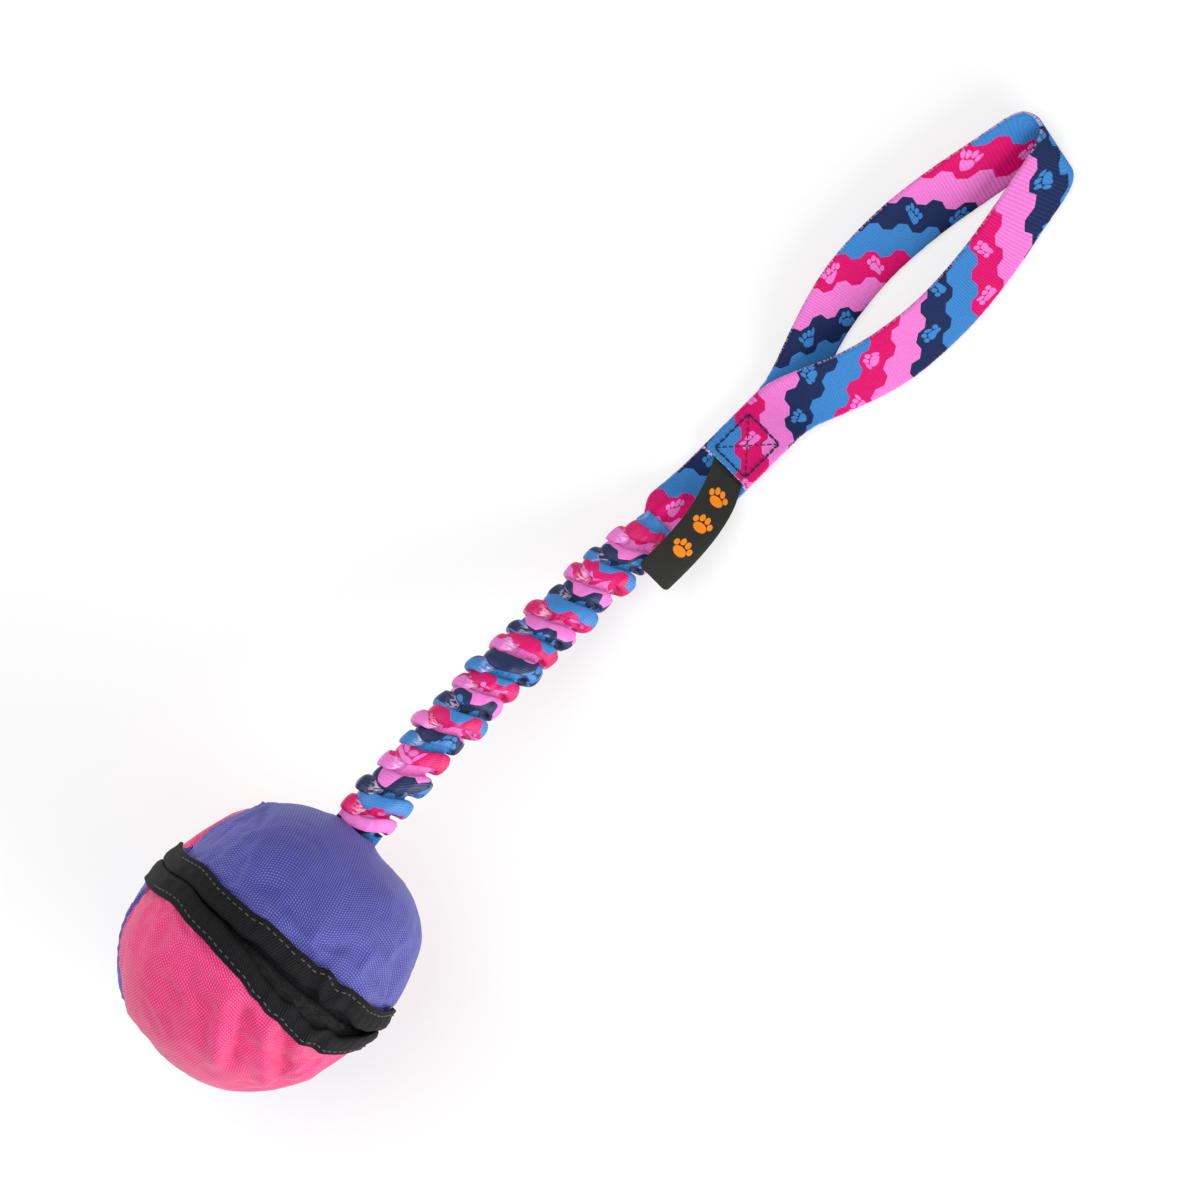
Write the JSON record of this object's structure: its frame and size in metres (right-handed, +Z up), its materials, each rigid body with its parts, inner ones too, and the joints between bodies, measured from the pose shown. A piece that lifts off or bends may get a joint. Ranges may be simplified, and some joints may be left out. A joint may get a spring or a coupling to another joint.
{
  "type": "bungee tug toy",
  "caption": "Padded fabric ball with a taped, opening mouth, on a gathered bungee with a stitched webbing hand loop, for tugging and fetching with a dog.",
  "frame": {"origin": "On the ball's rest flat, on the surface that the toy lies on.", "axes": "+X from the ball to the hand loop, +Z up, with the ball's mouth up; +Y completes the frame."},
  "size_m": [0.5086, 0.1154, 0.1219],
  "materials": {
    "purple_nylon": "coarse basket-woven nylon",
    "pink_nylon": "coarse basket-woven nylon",
    "white_foam": "open-cell padding",
    "black_lining": "plain woven lining",
    "black_webbing": "ribbed binding tape",
    "hook_tape": "hook side of a touch fastener",
    "loop_tape": "loop side of a touch fastener, fuzzy",
    "grey_thread": "bonded sewing thread",
    "navy_thread": "bonded sewing thread",
    "printed_webbing": "printed twill webbing in zigzag bands",
    "printed_sleeve": "printed twill, gathered",
    "white_elastic": "braided elastic",
    "grey_satin": "woven satin"
  },
  "bodies": {
    "ball_upper": {"panel_front_upper": "purple_nylon", "panel_back_upper": "pink_nylon", "foam_front_upper": "white_foam", "foam_back_upper": "white_foam", "lining_upper": "black_lining", "lip_binding_upper": "black_webbing", "hook_tape": "hook_tape", "lip_thread_upper": "grey_thread", "anchor_tab": "printed_webbing"},
    "ball_lower": {"panel_front_lower": "pink_nylon", "panel_back_lower": "purple_nylon", "foam_front_lower": "white_foam", "foam_back_lower": "white_foam", "lining_lower": "black_lining", "lip_binding_lower": "black_webbing", "loop_tape": "loop_tape", "lip_thread_lower": "grey_thread"},
    "bungee": {"bungee_sleeve": "printed_sleeve", "elastic_core": "white_elastic"},
    "neck": {"neck_webbing": "printed_webbing", "strap_end": "printed_webbing", "box_stitch": "navy_thread"},
    "hand_loop": {"hand_loop": "printed_webbing"},
    "label": {"label": "grey_satin"}
  },
  "joints": [
    {"name": "mouth_open", "type": "hinge", "parent": "ball_upper", "child": "ball_lower", "pos_m": [-0.00576, 0.01338, 0.00109], "axis": [0.1272, -0.966, -0.225], "range_deg": [0, 20], "stiffness_Nm_per_rad": 0.35, "springref_deg": -8.59},
    {"name": "bungee_lift", "type": "hinge", "parent": "ball_upper", "child": "bungee", "pos_m": [0.05945, 0.00835, 0.05955], "axis": [0, -1, 0], "range_deg": [0, 65]},
    {"name": "bungee_stretch", "type": "slide", "parent": "bungee", "child": "neck", "axis": [1, 0, 0], "range_m": [0, 0.16], "stiffness_N_per_m": 350, "deforming": ["bungee_sleeve", "elastic_core"]},
    {"name": "loop_fold", "type": "hinge", "parent": "neck", "child": "hand_loop", "pos_m": [0.283, 0.006, 0.0045], "axis": [0, -1, 0], "range_deg": [0, 90]},
    {"name": "label_lift", "type": "hinge", "parent": "neck", "child": "label", "pos_m": [0.2577, 0.0045, 0.0026], "axis": [0, 1, 0], "range_deg": [0, 60]}
  ]
}
